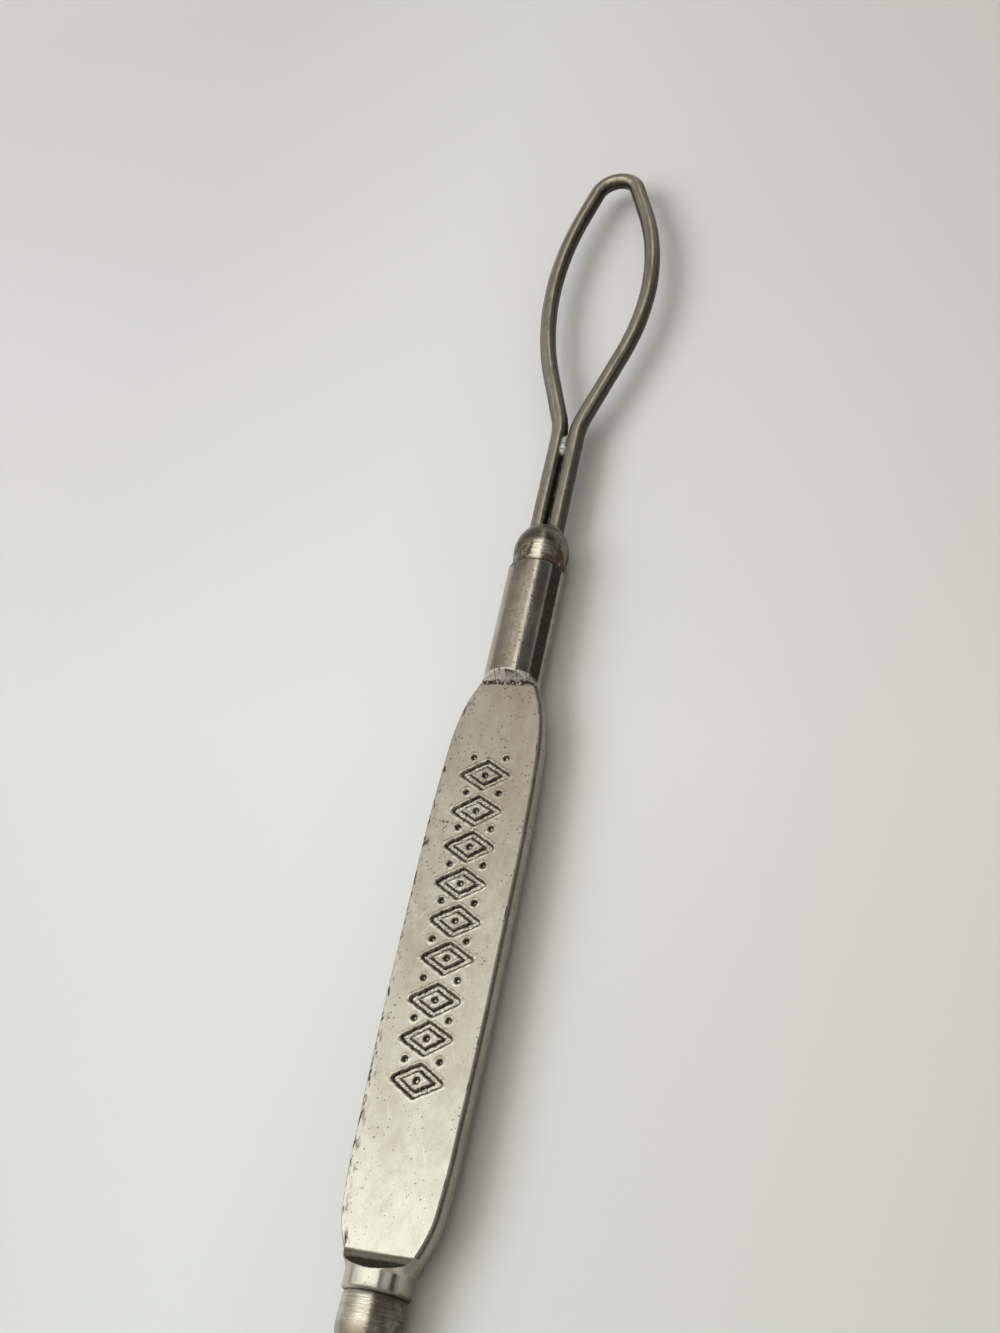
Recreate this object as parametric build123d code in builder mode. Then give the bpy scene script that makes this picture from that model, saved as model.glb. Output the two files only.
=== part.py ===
from build123d import *
from math import asin, atan2, cos, degrees, radians, sin, tan
import os

os.makedirs("parts", exist_ok=True)

# A button hook that lies on a table, in millimetres. X runs along the tool towards the wire loop, +Z is up.
# The origin is on the table, under the middle of the tool's length.

# Bar: round stock, pressed flat over its middle from above and below
bar_diameter = 4.5
flat_length = 41.4
flat_width = 7.3
flat_thickness = 2.2
side_bulge = 0.25
loop_shank_length = 10.7
hook_shank_length = 2.4
loop_shoulder_run = 0.65
hook_shoulder_run = 1.1
shank_chamfer = 0.25
spigot_length = 1.6
spigot_clearance = 0.02

# The flat's outline, from its hook end to its loop end: place along the length, share of the half width
outline_shares = ((0.0, 0.64), (0.09, 0.9), (0.5, 1.0), (0.885, 0.92), (0.975, 0.74), (1.0, 0.55))

# Heights of the sections across the bulged sides, as shares of half the flat's thickness
bulge_height_shares = (-1.0, -0.5, 0.0, 0.5, 1.0)

# Bead: a turned ferrule on each end of the bar, a swelling barrel with a rounded end
ferrule_diameter = 4.38
ferrule_seat_diameter = 3.85
ferrule_swell_length = 1.8
ferrule_dome_length = 2.55
bore_clearance = 0.1

# Wire loop: two legs side by side, which part at the neck
wire_diameter = 1.4
wire_gap = 0.1
leg_length = 10.3
loop_length = 29.4
loop_width = 10.1
neck_bend_radius = 6.5

# The loop's three wide bends. Each arc rounds a corner where the straight runs beside it would meet: its place
# past the neck, as a share of the loop's length, and to the side, as a share of its width.
left_corner_shares = (0.51, 0.582)
right_corner_shares = (0.543, -0.587)
tip_corner_shares = (1.1135, 0.07)
left_bend_share = 1.07
right_bend_share = 0.84
tip_bend_share = 0.194

# Solder in the valley between the wires
neck_solder_length = 2.2
neck_solder_width = 0.9
neck_solder_thickness = 1.04

# Hook: a round rod with a slight crank, a half-round bend and a tapered tip
hook_length = 61.9
hook_diameter = 2.0
hook_tip_diameter = 1.3
hook_gap = 3.8
tip_leg_length = 5.0
tip_chamfer = 0.3
crank_radius = 18.0
crank_run_length = 3.4
crank_angle = 20.0
tip_flare_angle = 4.0

cut_overrun = 1.0

# Radii and heights
bar_radius = bar_diameter / 2
ferrule_radius = ferrule_diameter / 2
axis_height = max(bar_radius, ferrule_radius)
half_thickness = flat_thickness / 2
wire_radius = wire_diameter / 2
wire_offset = (wire_diameter + wire_gap) / 2
bore_radius = wire_offset + wire_radius + bore_clearance
spigot_radius = bore_radius - spigot_clearance
hook_radius = hook_diameter / 2

# Places along the tool
ferrule_length = ferrule_swell_length + ferrule_dome_length
bar_length = hook_shank_length + flat_length + loop_shank_length
overall_length = hook_length + ferrule_length + bar_length + ferrule_length + leg_length + loop_length
hook_end = -overall_length / 2
hook_seat = hook_end + hook_length + ferrule_length
flat_start = hook_seat + hook_shank_length
flat_end = flat_start + flat_length
loop_seat = flat_end + loop_shank_length
neck = loop_seat + ferrule_length + leg_length

tool_axis = Axis((0, 0, axis_height), (1, 0, 0))
axis_plane = Plane.XY.offset(axis_height)
bar_middle_plane = Plane.YZ.offset((hook_seat + loop_seat) / 2)


def flat_section(height, extra_width):
    """The flat's plan outline at a height above the axis, wider than its face by extra_width on each side."""
    points = []
    for along, across in outline_shares:
        points.append((flat_start + along * flat_length, across * flat_width / 2 + extra_width))
    start_corner, start_shoulder, middle, end_shoulder, end_taper, end_corner = points
    # Both ends run on inside the round bar, where they don't show
    buried_start = (flat_start - hook_shoulder_run, wire_radius + extra_width)
    buried_end = (flat_end + loop_shoulder_run, wire_radius + extra_width)
    with BuildSketch(axis_plane.offset(height)) as section:
        with BuildLine():
            long_side = ThreePointArc(start_shoulder, middle, end_shoulder)
            TangentArc(start_shoulder, start_corner, tangent=-(long_side % 0))
            taper = TangentArc(end_shoulder, end_taper, tangent=long_side % 1)
            TangentArc(end_taper, end_corner, tangent=taper % 1)
            Polyline(end_corner, buried_end, (buried_end[0], 0))
            Polyline((buried_start[0], 0), buried_start, start_corner)
            mirror(about=Plane.XZ)
        make_face()
    return section.sketch


# Round bar, turned down to a spigot at each end
with BuildPart() as handle_bar:
    with BuildSketch(axis_plane):
        with BuildLine():
            Polyline(
                (hook_seat - spigot_length, 0),
                (hook_seat - spigot_length, spigot_radius),
                (hook_seat, spigot_radius),
                (hook_seat, bar_radius - shank_chamfer),
                (hook_seat + shank_chamfer, bar_radius),
                (loop_seat - shank_chamfer, bar_radius),
                (loop_seat, bar_radius - shank_chamfer),
                (loop_seat, spigot_radius),
                (loop_seat + spigot_length, spigot_radius),
                (loop_seat + spigot_length, 0),
                close=True,
            )
        make_face()
    revolve(axis=tool_axis)

    # The dies press away the top and the bottom of the bar, and leave a sloped shoulder at each end
    shoulder_rise = bar_radius - half_thickness
    cut_rise = shoulder_rise + cut_overrun
    cut_start = flat_start - hook_shoulder_run * cut_rise / shoulder_rise
    cut_end = flat_end + loop_shoulder_run * cut_rise / shoulder_rise
    with BuildSketch(Plane.XZ):
        for side in (1, -1):
            with BuildLine():
                Polyline(
                    (flat_start, axis_height + side * half_thickness),
                    (flat_end, axis_height + side * half_thickness),
                    (cut_end, axis_height + side * (half_thickness + cut_rise)),
                    (cut_start, axis_height + side * (half_thickness + cut_rise)),
                    close=True,
                )
            make_face()
    extrude(amount=bar_diameter, both=True, mode=Mode.SUBTRACT)

    # The metal pressed out of the bar spreads sideways, with bulged sides
    flat_sections = []
    for share in bulge_height_shares:
        flat_sections.append(flat_section(share * half_thickness, side_bulge * (1 - share**2)))
    loft(sections=flat_sections, ruled=True)
handle_bar.part.label = "handle_bar"
export_step(handle_bar.part, "parts/handle_bar.step")

# The bead at the loop's end, bored through for the spigot and the wires
swell_end = loop_seat + ferrule_swell_length
mouth_angle = degrees(asin(bore_radius / ferrule_radius))
mouth = swell_end + ferrule_dome_length * cos(radians(mouth_angle))
with BuildPart() as loop_ferrule:
    with BuildSketch(axis_plane):
        with BuildLine():
            TangentArc((swell_end, ferrule_radius), (loop_seat, ferrule_seat_diameter / 2), tangent=(-1, 0))
            Polyline((loop_seat, ferrule_seat_diameter / 2), (loop_seat, bore_radius), (mouth, bore_radius))
            EllipticalCenterArc((swell_end, 0), ferrule_dome_length, ferrule_radius, mouth_angle, arc_size=90 - mouth_angle)
        make_face()
    revolve(axis=tool_axis)
loop_ferrule.part.label = "loop_ferrule"
export_step(loop_ferrule.part, "parts/loop_ferrule.step")

# The bead at the hook's end is its mirror image
with BuildPart() as hook_ferrule:
    mirror(loop_ferrule.part, about=bar_middle_plane)
hook_ferrule.part.label = "hook_ferrule"
export_step(hook_ferrule.part, "parts/hook_ferrule.step")

# The wire loop, bent from one length of wire
loop_points = [(loop_seat + spigot_length, wire_offset), (neck, wire_offset)]
for along, across in (left_corner_shares, tip_corner_shares, right_corner_shares):
    loop_points.append((neck + along * loop_length, across * loop_width))
loop_points += [(neck, -wire_offset), (loop_seat + spigot_length, -wire_offset)]
bend_radii = [
    neck_bend_radius,
    left_bend_share * loop_length,
    tip_bend_share * loop_width,
    right_bend_share * loop_length,
    neck_bend_radius,
]
with BuildPart() as loop_wire:
    with BuildLine(axis_plane) as wire_path:
        FilletPolyline(*loop_points, radius=bend_radii)
    with BuildSketch(Plane(origin=wire_path.line @ 0, z_dir=wire_path.line % 0)):
        Circle(wire_radius)
    sweep()
loop_wire.part.label = "loop_wire"
export_step(loop_wire.part, "parts/loop_wire.step")

# Solder fills each bore from the spigot outwards, and its crown rounds off the bead
with BuildPart() as solder_plug:
    with BuildSketch(axis_plane):
        with BuildLine():
            Polyline(
                (loop_seat + ferrule_length, 0),
                (loop_seat + spigot_length, 0),
                (loop_seat + spigot_length, bore_radius),
                (mouth, bore_radius),
            )
            TangentArc((loop_seat + ferrule_length, 0), (mouth, bore_radius), tangent=(0, 1))
        make_face()
    revolve(axis=tool_axis)

with BuildPart() as loop_solder:
    add(solder_plug.part)
    with BuildSketch(Plane.YZ.offset(loop_seat + spigot_length)):
        with Locations((wire_offset, axis_height), (-wire_offset, axis_height)):
            Circle(wire_radius)
    extrude(amount=ferrule_length, mode=Mode.SUBTRACT)
loop_solder.part.label = "loop_solder"
export_step(loop_solder.part, "parts/loop_solder.step")

with BuildPart() as hook_solder:
    mirror(solder_plug.part, about=bar_middle_plane)
    with BuildSketch(Plane.YZ.offset(hook_seat - spigot_length)):
        with Locations((0, axis_height)):
            Circle(hook_radius)
    extrude(amount=-ferrule_length, mode=Mode.SUBTRACT)
hook_solder.part.label = "hook_solder"
export_step(hook_solder.part, "parts/hook_solder.step")

# A run of solder in the valley between the wires, which ends where they start to part
neck_turn = atan2(left_corner_shares[1] * loop_width - wire_offset, left_corner_shares[0] * loop_length)
parting = neck - neck_bend_radius * tan(neck_turn / 2)
with BuildPart() as neck_solder:
    with BuildSketch(axis_plane):
        with Locations((parting - neck_solder_length / 2, 0)):
            SlotOverall(neck_solder_length, neck_solder_width)
    extrude(amount=neck_solder_thickness / 2, both=True)
    add(loop_wire.part, mode=Mode.SUBTRACT)
neck_solder.part.label = "neck_solder"
export_step(neck_solder.part, "parts/neck_solder.step")

# The hook: the rod is cranked to one side before the bend, which brings the hook back over the tool's axis
bend_radius = hook_gap / 2 + hook_radius
turn = radians(crank_angle)
bend_start = hook_end + hook_radius + bend_radius + bend_radius * sin(turn)
crank_start = bend_start + crank_run_length * cos(turn) + crank_radius * sin(turn)
with BuildPart() as hook:
    with BuildLine(axis_plane) as hook_path:
        Line((hook_seat - spigot_length, 0), (crank_start, 0))
        crank = JernArc((crank_start, 0), (-1, 0), crank_radius, crank_angle)
        run = PolarLine(crank @ 1, crank_run_length, direction=crank % 1)
        JernArc(run @ 1, run % 1, bend_radius, tip_flare_angle - crank_angle - 180)
    with BuildSketch(Plane(origin=hook_path.line @ 0, z_dir=hook_path.line % 0)):
        Circle(hook_radius)
    sweep()

    # The rod tapers past the bend, and the tip's edge is chamfered
    tip_plane = Plane(origin=hook_path.line @ 1, z_dir=hook_path.line % 1)
    for along, section_radius in (
        (0, hook_radius),
        (tip_leg_length, hook_tip_diameter / 2),
        (tip_leg_length + tip_chamfer, hook_tip_diameter / 2 - tip_chamfer),
    ):
        with BuildSketch(tip_plane.offset(along)):
            Circle(section_radius)
    loft(ruled=True)
hook.part.label = "hook"
export_step(hook.part, "parts/hook.step")
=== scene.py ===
import bpy
import numpy as np
from mathutils import Matrix


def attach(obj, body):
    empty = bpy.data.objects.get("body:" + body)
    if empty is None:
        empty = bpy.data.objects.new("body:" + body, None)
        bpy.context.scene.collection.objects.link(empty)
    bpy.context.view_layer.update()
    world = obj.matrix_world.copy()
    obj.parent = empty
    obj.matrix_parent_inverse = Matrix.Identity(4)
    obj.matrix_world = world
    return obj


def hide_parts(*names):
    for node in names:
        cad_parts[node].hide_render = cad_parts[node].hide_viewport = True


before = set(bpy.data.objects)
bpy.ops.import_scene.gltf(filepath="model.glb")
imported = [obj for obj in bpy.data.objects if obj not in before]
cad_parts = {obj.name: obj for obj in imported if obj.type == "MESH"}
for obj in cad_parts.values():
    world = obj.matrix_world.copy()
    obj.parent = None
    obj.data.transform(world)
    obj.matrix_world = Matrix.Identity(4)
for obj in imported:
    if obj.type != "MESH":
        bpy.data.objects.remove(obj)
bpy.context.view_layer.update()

# A button hook on a pale table. Shapes are worked out in millimetres and written in metres.
# X runs along the tool towards the wire loop, Z is up, and the bar's axis is AXIS_HEIGHT above the table.
MM = 0.001
AXIS_HEIGHT = 2.25

# Bar
BAR_RADIUS = 2.25
HOOK_SEAT = -16.15
FLAT_START = -13.75
FLAT_END = 27.65
LOOP_SEAT = 38.35
HALF_THICKNESS = 1.1
SIDE_BULGE = 0.25
HOOK_SHOULDER_RUN = 1.1
LOOP_SHOULDER_RUN = 0.65
NECK_PRESS = (-14.95, -13.85)
SPIGOT_LENGTH = 1.6
SPIGOT_RADIUS = 1.53

# The flat's half width from its hook end to its loop end
OUTLINE_PLACES = (-16.2, -15.2, -14.85, -14.3, -13.75, -13.3, -11.78, -9.94, -7.91, -6.11, -2.06, 2.13, 6.4,
                  10.86, 15.49, 20.3, 22.78, 23.64, 24.49, 25.35, 26.2, 27.06, 27.65, 28.3, 29.0)
OUTLINE_HALF_WIDTHS = (1.0, 1.5, 1.75, 2.12, 2.4, 2.6, 3.09, 3.29, 3.42, 3.456, 3.555, 3.62, 3.636,
                       3.65, 3.63, 3.49, 3.348, 3.26, 3.123, 2.95, 2.70, 2.34, 2.06, 1.75, 1.4)

# The spacing of the rings over stretches of the bar, and the least half width that their points span
RING_SPACINGS = ((-15.1, -13.4, 0.045), (-13.4, -4.3, 0.25), (-4.3, 23.0, 0.065), (23.0, 26.4, 0.25),
                 (26.4, 27.3, 0.1), (27.3, 28.6, 0.04), (28.6, 37.9, 0.4))
LEAST_SPREAD = 1.96

# Punched border on the flat
LOZENGE_COUNT = 9
LOZENGE_PITCH = 2.84
LOZENGE_HALF_LENGTH = 0.95
LOZENGE_HALF_WIDTH = 1.6
FIRST_LOZENGE = -2.75
DOT_DISTANCE = 1.25
STROKE_HALF_WIDTH = 0.29
STROKE_WALL = 0.17
STROKE_DEPTH = 0.27
BURR_HEIGHT = 0.022

# Beads
BEAD_RADIUS = 2.19
SWELL_LENGTH = 1.8
DOME_LENGTH = 2.55
BORE_RADIUS = 1.55

# Wire loop
WIRE_RADIUS = 0.7
WIRE_OFFSET = 0.75
NECK = 53.0
LOOP_LENGTH = 29.4
LOOP_WIDTH = 10.1
LOOP_CROWN_FACE = 42.2

# Solder drop between the wires
DROP_MIDDLE = 50.819
DROP_HALF_LENGTH = 1.08
DROP_HALF_WIDTH = 0.5
DROP_HALF_HEIGHT = 0.66

# Hook
HOOK_END = -82.4
HOOK_RADIUS = 1.0
HOOK_GAP = 3.8
CRANK_RADIUS = 18.0
CRANK_RUN = 3.4
CRANK_ANGLE = np.radians(20.0)
TIP_FLARE = np.radians(4.0)
TIP_LEG = 5.28
TIP_RADIUS = 0.65
HOOK_CROWN_FACE = -20.4


def ripple_field(coordinates, wavelengths, seed):
    """A smooth uneven field from about -1 to 1: the mean of cosine waves that run in random directions.

    coordinates is a list of equal arrays in millimetres, and wavelengths gives each one's typical wave.
    """
    waves = 24
    rng = np.random.default_rng(seed)
    total = np.zeros(np.broadcast(*coordinates).shape)
    for _ in range(waves):
        argument = rng.uniform(0, 2 * np.pi)
        for values, wavelength in zip(coordinates, wavelengths):
            argument = argument + 2 * np.pi * values / wavelength * rng.normal(0, 1)
        total = total + np.cos(argument)
    return total / np.sqrt(waves / 2) / 2.2


def unit(vector):
    """The vector at length 1, or each row of a list of them."""
    return vector / np.linalg.norm(vector, axis=-1, keepdims=True)


def smooth_lower(first, second, width):
    """The lower of two arrays, with the corner between them rounded over width."""
    share = np.clip(0.5 + 0.5 * (second - first) / width, 0, 1)
    return second + (first - second) * share - width * share * (1 - share)


def smooth_step(values, low, high):
    """0 below low, 1 above high, and an S-curve between."""
    share = np.clip((values - low) / (high - low), 0, 1)
    return share * share * (3 - 2 * share)


def bell(values, width, power=2):
    """1 at zero, falling off on both sides within width, more squarely with a higher power."""
    return np.exp(-(np.abs(values / width) ** power))


def flowing_curve(places, knots, values):
    """A cubic through the knots, whose slope at each knot is the mean slope of its neighbours."""
    knots = np.asarray(knots, float)
    values = np.asarray(values, float)
    slopes = np.gradient(values, knots)
    index = np.clip(np.searchsorted(knots, places) - 1, 0, len(knots) - 2)
    span = knots[index + 1] - knots[index]
    way = np.clip((places - knots[index]) / span, 0, 1)
    return (
        (2 * way**3 - 3 * way**2 + 1) * values[index]
        + (way**3 - 2 * way**2 + way) * span * slopes[index]
        + (3 * way**2 - 2 * way**3) * values[index + 1]
        + (way**3 - way**2) * span * slopes[index + 1]
    )


def new_object(name, data):
    made = bpy.data.objects.new(name, data)
    bpy.context.scene.collection.objects.link(made)
    return made


def grid_piece(name, points, node, material, attributes, closed_rows=False):
    """A closed surface from a grid of points: rows of points around, each row a closed ring.

    The rings are joined in turn. The last ring meets the first where closed_rows is set, and otherwise
    each end is closed by a fan to the middle of its ring. attributes gives measures at each point, which
    are held between 0 and 1, or three coordinates.
    """
    rows, columns = points.shape[:2]
    vertices = points.reshape(-1, 3) * MM
    row = np.arange(rows if closed_rows else rows - 1)
    near = row[:, None] * columns + np.arange(columns)[None, :]
    far = ((row[:, None] + 1) % rows) * columns + np.arange(columns)[None, :]
    quads = np.stack([near, np.roll(near, -1, 1), np.roll(far, -1, 1), far], -1).reshape(-1, 4)
    faces = quads.tolist()
    if not closed_rows:
        ring = np.arange(columns)
        for start, flip in ((0, False), ((rows - 1) * columns, True)):
            middle = len(vertices)
            vertices = np.vstack([vertices, vertices[start : start + columns].mean(0)])
            fan = np.stack([start + np.roll(ring, -1), start + ring, np.full(columns, middle)], -1)
            faces += (fan[:, ::-1] if flip else fan).tolist()
    mesh = bpy.data.meshes.new(name)
    mesh.from_pydata(vertices, [], faces)
    mesh.polygons.foreach_set("use_smooth", np.ones(len(mesh.polygons), bool))
    mesh.set_sharp_from_angle(angle=np.radians(50))
    for label, values in attributes.items():
        values = np.asarray(values, np.float32).reshape(rows * columns, -1)
        kind, field = ("FLOAT_VECTOR", "vector")
        if values.shape[1] == 1:
            kind, field = ("FLOAT", "value")
            values = np.clip(values, 0, 1)
        padded = np.zeros((len(vertices), values.shape[1]), np.float32)
        padded[: rows * columns] = values
        mesh.attributes.new(label, kind, "POINT").data.foreach_set(field, padded.ravel())
    mesh.materials.append(material)
    mesh.update()
    piece = new_object(name, mesh)
    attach(piece, "root")
    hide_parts(node)
    return piece


def level_share(points, signed=False):
    """How level the skin is at each point of a grid: 1 where it faces straight up or down, 0 on a side.

    It is the upward share of the cross product of the grid's two directions. Signed, it tells the two faces
    of a piece apart.
    """
    along = np.gradient(points, axis=0)
    around = np.roll(points, -1, 1) - np.roll(points, 1, 1)
    normal = np.cross(along, around)
    share = -normal[..., 2] / np.maximum(np.linalg.norm(normal, axis=-1), 1e-9)
    return share if signed else np.abs(share)


# Materials


class Nodes:
    """Short calls that add a node to one node tree, set it and wire it."""

    def __init__(self, tree):
        self.tree = tree

    def add(self, kind, inputs=None, **settings):
        node = self.tree.nodes.new(kind)
        for key, value in settings.items():
            setattr(node, key, value)
        for key, value in (inputs or {}).items():
            self.set(node, key, value)
        return node

    def set(self, node, key, value):
        socket = node.inputs[key]
        if isinstance(value, bpy.types.NodeSocket):
            self.tree.links.new(value, socket)
        else:
            socket.default_value = value

    def ramp(self, value, low, high, bottom=0.0, top=1.0):
        """value from low to high becomes bottom to top, held at both ends."""
        inputs = {"Value": value, "From Min": low, "From Max": high, "To Min": bottom, "To Max": top}
        return self.add("ShaderNodeMapRange", inputs).outputs[0]

    def math(self, operation, first, second):
        return self.add("ShaderNodeMath", {0: first, 1: second}, operation=operation).outputs[0]

    def times(self, first, second):
        return self.math("MULTIPLY", first, second)

    def plus(self, first, second):
        return self.math("ADD", first, second)

    def minus(self, first, second):
        return self.math("SUBTRACT", first, second)

    def higher(self, first, second):
        return self.math("MAXIMUM", first, second)

    def blend(self, share, first, second, mode="MIX"):
        """Two colours mixed, or the first with share of the second added to it or multiplied into it."""
        node = self.add("ShaderNodeMix", data_type="RGBA", blend_type=mode)
        self.set(node, "Factor", share)
        for index, colour in ((6, first), (7, second)):
            socket = node.inputs[index]
            if isinstance(colour, bpy.types.NodeSocket):
                self.tree.links.new(colour, socket)
            else:
                socket.default_value = (*colour, 1.0)
        return node.outputs[2]

    def gradient(self, value, stops):
        """A colour ramp through (place, colour) stops."""
        node = self.add("ShaderNodeValToRGB")
        node.inputs[0].default_value = 0.5
        self.tree.links.new(value, node.inputs[0])
        elements = node.color_ramp.elements
        while len(elements) < len(stops):
            elements.new(0.5)
        for element, (place, colour) in zip(elements, stops):
            element.position = place
        for element, (place, colour) in zip(elements, stops):
            element.color = (*colour, 1.0)
        return node.outputs[0]


class Finish(Nodes):
    """Builds one node material."""

    def __init__(self, name):
        self.material = bpy.data.materials.new(name)
        self.material.use_nodes = True
        super().__init__(self.material.node_tree)
        self.shader = self.tree.nodes["Principled BSDF"]

    def place(self, scale, turn=0.0, shift=0.0):
        """Object coordinates times scale, after a turn about the upright axis.

        scale is per metre: one number, or one for each axis.
        """
        if not isinstance(scale, tuple):
            scale = (scale, scale, scale)
        vector = self.add("ShaderNodeTexCoord").outputs["Object"]
        if turn:
            vector = self.add("ShaderNodeMapping", {"Vector": vector, "Rotation": (0, 0, turn)}).outputs[0]
        inputs = {"Vector": vector, "Location": (shift, shift, shift), "Scale": scale}
        return self.add("ShaderNodeMapping", inputs).outputs[0]

    def field(self, name):
        """One of the piece's own measures, from 0 to 1."""
        return self.add("ShaderNodeAttribute", attribute_name=name).outputs["Fac"]

    def vector_noise(self, vector, detail, rough):
        inputs = {"Vector": vector, "Scale": 1.0, "Detail": detail, "Roughness": rough}
        return self.add("ShaderNodeTexNoise", inputs).outputs["Fac"]

    def noise(self, scale, detail=3.0, rough=0.55, turn=0.0, shift=0.0):
        """Noise over Object coordinates."""
        return self.vector_noise(self.place(scale, turn, shift), detail, rough)

    def own_noise(self, scale, detail, rough):
        """Noise over the piece's own straightened coordinates."""
        own = self.add("ShaderNodeAttribute", attribute_name="straight").outputs["Vector"]
        vector = self.add("ShaderNodeMapping", {"Vector": own, "Scale": scale}).outputs[0]
        return self.vector_noise(vector, detail, rough)

    def spots(self, scale, size):
        """1 inside round spots, one to a cell of 1 / scale metres, whose radius is size cells."""
        cells = self.add("ShaderNodeTexVoronoi", {"Vector": self.place(scale), "Scale": 1.0})
        return self.math("LESS_THAN", cells.outputs["Distance"], size)

    def bump(self, height, distance, strength=1.0, onto=None):
        """Bump of a height field from 0 to 1 that is distance metres tall."""
        node = self.add("ShaderNodeBump", {"Height": height, "Distance": distance, "Strength": strength})
        if onto is not None:
            self.tree.links.new(onto, node.inputs["Normal"])
        return node.outputs[0]

    def finish(self, colour, roughness, normal, metallic, specular):
        self.set(self.shader, "Base Color", colour)
        self.set(self.shader, "Roughness", roughness)
        self.set(self.shader, "Metallic", metallic)
        self.set(self.shader, "Specular IOR Level", specular)
        self.tree.links.new(normal, self.shader.inputs["Normal"])
        return self.material

    def finish_dirt_and_shade(self, colour, roughness, normal, specular):
        """The finish of bare metal that turns dark brown where its grime_and_shade measure is high: soil in
        its crevices, and on the loop painted shade between the wires and at their neck.
        """
        grime_and_shade = self.field("grime_and_shade")
        colour = self.blend(self.times(grime_and_shade, 0.85), colour, (0.07, 0.055, 0.04))
        return self.finish(colour, roughness, normal, self.ramp(grime_and_shade, 0.3, 1.0, 1.0, 0.5), specular)


def nickel_specks(skin):
    """Dark specks and pits in the plating, more of them towards the loop and at the foot of its shoulder."""
    along_bar = skin.add("ShaderNodeSeparateXYZ", {0: skin.place(1000)}).outputs[0]
    far = skin.ramp(along_bar, -2, 24, -0.12, 0.4)
    dirty = skin.plus(skin.ramp(skin.noise((300, 420, 420)), 0.4, 0.7), far)
    specks = skin.times(skin.spots(2600, skin.ramp(dirty, 0, 1, 0.08, 0.215)), 0.55)
    pits = skin.times(skin.spots(1250, skin.ramp(dirty, 0, 1, 0.0, 0.12)), 0.8)
    foot = skin.times(skin.field("pits"), skin.ramp(skin.noise((5200, 3600, 3600)), 0.46, 0.56))
    return skin.higher(skin.higher(specks, pits), skin.ramp(foot, 0.25, 0.6))


def worn_nickel():
    """The bar: satin nickel with cloudy tarnish, dark specks and faint rubbing, browned on its sides by
    oxide and painted shade.
    """
    skin = Finish("worn_nickel")
    clouds = skin.noise((200, 300, 300), 5.0, 0.62)
    mottle = skin.noise((900, 1200, 1200), 4.0, 0.65)
    rubbing = skin.noise((260, 4200, 4200), 3.0, 0.6)
    grain = skin.noise(9000, 2.0, 0.7)
    grime_and_shade = skin.field("grime_and_shade")
    patina_and_shade = skin.times(skin.field("patina_and_shade"), skin.ramp(mottle, 0.3, 0.62, 0.72, 1.0))
    specks = nickel_specks(skin)

    tarnished = (0.53, 0.487, 0.43)
    plated = (0.665, 0.637, 0.585)
    dull = (0.45, 0.40, 0.335)
    rubbed_and_highlight = (0.74, 0.71, 0.65)
    colour = skin.blend(skin.ramp(clouds, 0.36, 0.64), tarnished, plated)
    mottling = skin.times(skin.ramp(mottle, 0.42, 0.7), skin.ramp(skin.field("rough"), 0.0, 1.0, 0.4, 1.1))
    colour = skin.blend(mottling, colour, dull)
    colour = skin.blend(skin.ramp(rubbing, 0.45, 0.75, 0.0, 0.18), colour, rubbed_and_highlight)

    file_mark = (0.3, 0.28, 0.27)
    filed = (1.0, 0.98, 0.98)
    file_marks = skin.ramp(skin.noise((500, 8000, 500), 3.0, 0.6), 0.38, 0.5)
    colour = skin.blend(skin.field("fresh"), colour, skin.blend(file_marks, file_mark, filed))

    scratch = (0.85, 0.84, 0.78)
    for turn, shift in ((0.62, 0.0), (-0.35, 37.0)):
        lines = skin.noise((350, 9000, 9000), 1.0, 0.5, turn, shift)
        where = skin.noise(260, 2.0, 0.5, shift=shift)
        lines = skin.times(skin.ramp(lines, 0.69, 0.72), skin.ramp(where, 0.5, 0.6, 0.0, 0.5))
        colour = skin.blend(lines, colour, scratch)

    # Painted shade and oxide: brown darkens the sides where the patina_and_shade measure is
    brown = (0.235, 0.20, 0.155)
    black_dirt_and_shade = (0.03, 0.024, 0.018)
    speck = (0.045, 0.033, 0.024)
    # Painted shade and dirt: black fills the strokes, edges and seams, and paints shade on the plate's side
    # edge, the long shoulder and the shank's right
    broken = skin.math("MINIMUM", skin.times(grime_and_shade, skin.ramp(grain, 0.3, 0.6, 0.75, 1.3)), 1.0)
    colour = skin.blend(patina_and_shade, colour, brown)
    colour = skin.blend(broken, colour, black_dirt_and_shade)
    colour = skin.blend(specks, colour, speck)

    roughness = skin.plus(skin.ramp(clouds, 0.3, 0.7, 0.17, 0.25), skin.ramp(grain, 0.3, 0.7, -0.03, 0.05))
    roughness = skin.plus(roughness, skin.times(skin.higher(grime_and_shade, specks), 0.3))
    roughness = skin.plus(roughness, skin.times(patina_and_shade, 0.08))
    roughness = skin.plus(roughness, skin.times(skin.field("fresh"), 0.22))
    normal = skin.bump(rubbing, 0.000003, 0.3)
    normal = skin.bump(mottle, 0.00001, 0.35, normal)
    normal = skin.bump(grain, 0.000012, skin.ramp(skin.field("rough"), 0, 1, 0.16, 1.0), normal)
    normal = skin.bump(skin.minus(1.0, specks), 0.00002, 0.6, normal)
    metallic = skin.ramp(skin.higher(grime_and_shade, specks), 0.3, 1.0, 1.0, 0.2)
    return skin.finish(colour, roughness, normal, metallic, 0.12)


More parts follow.
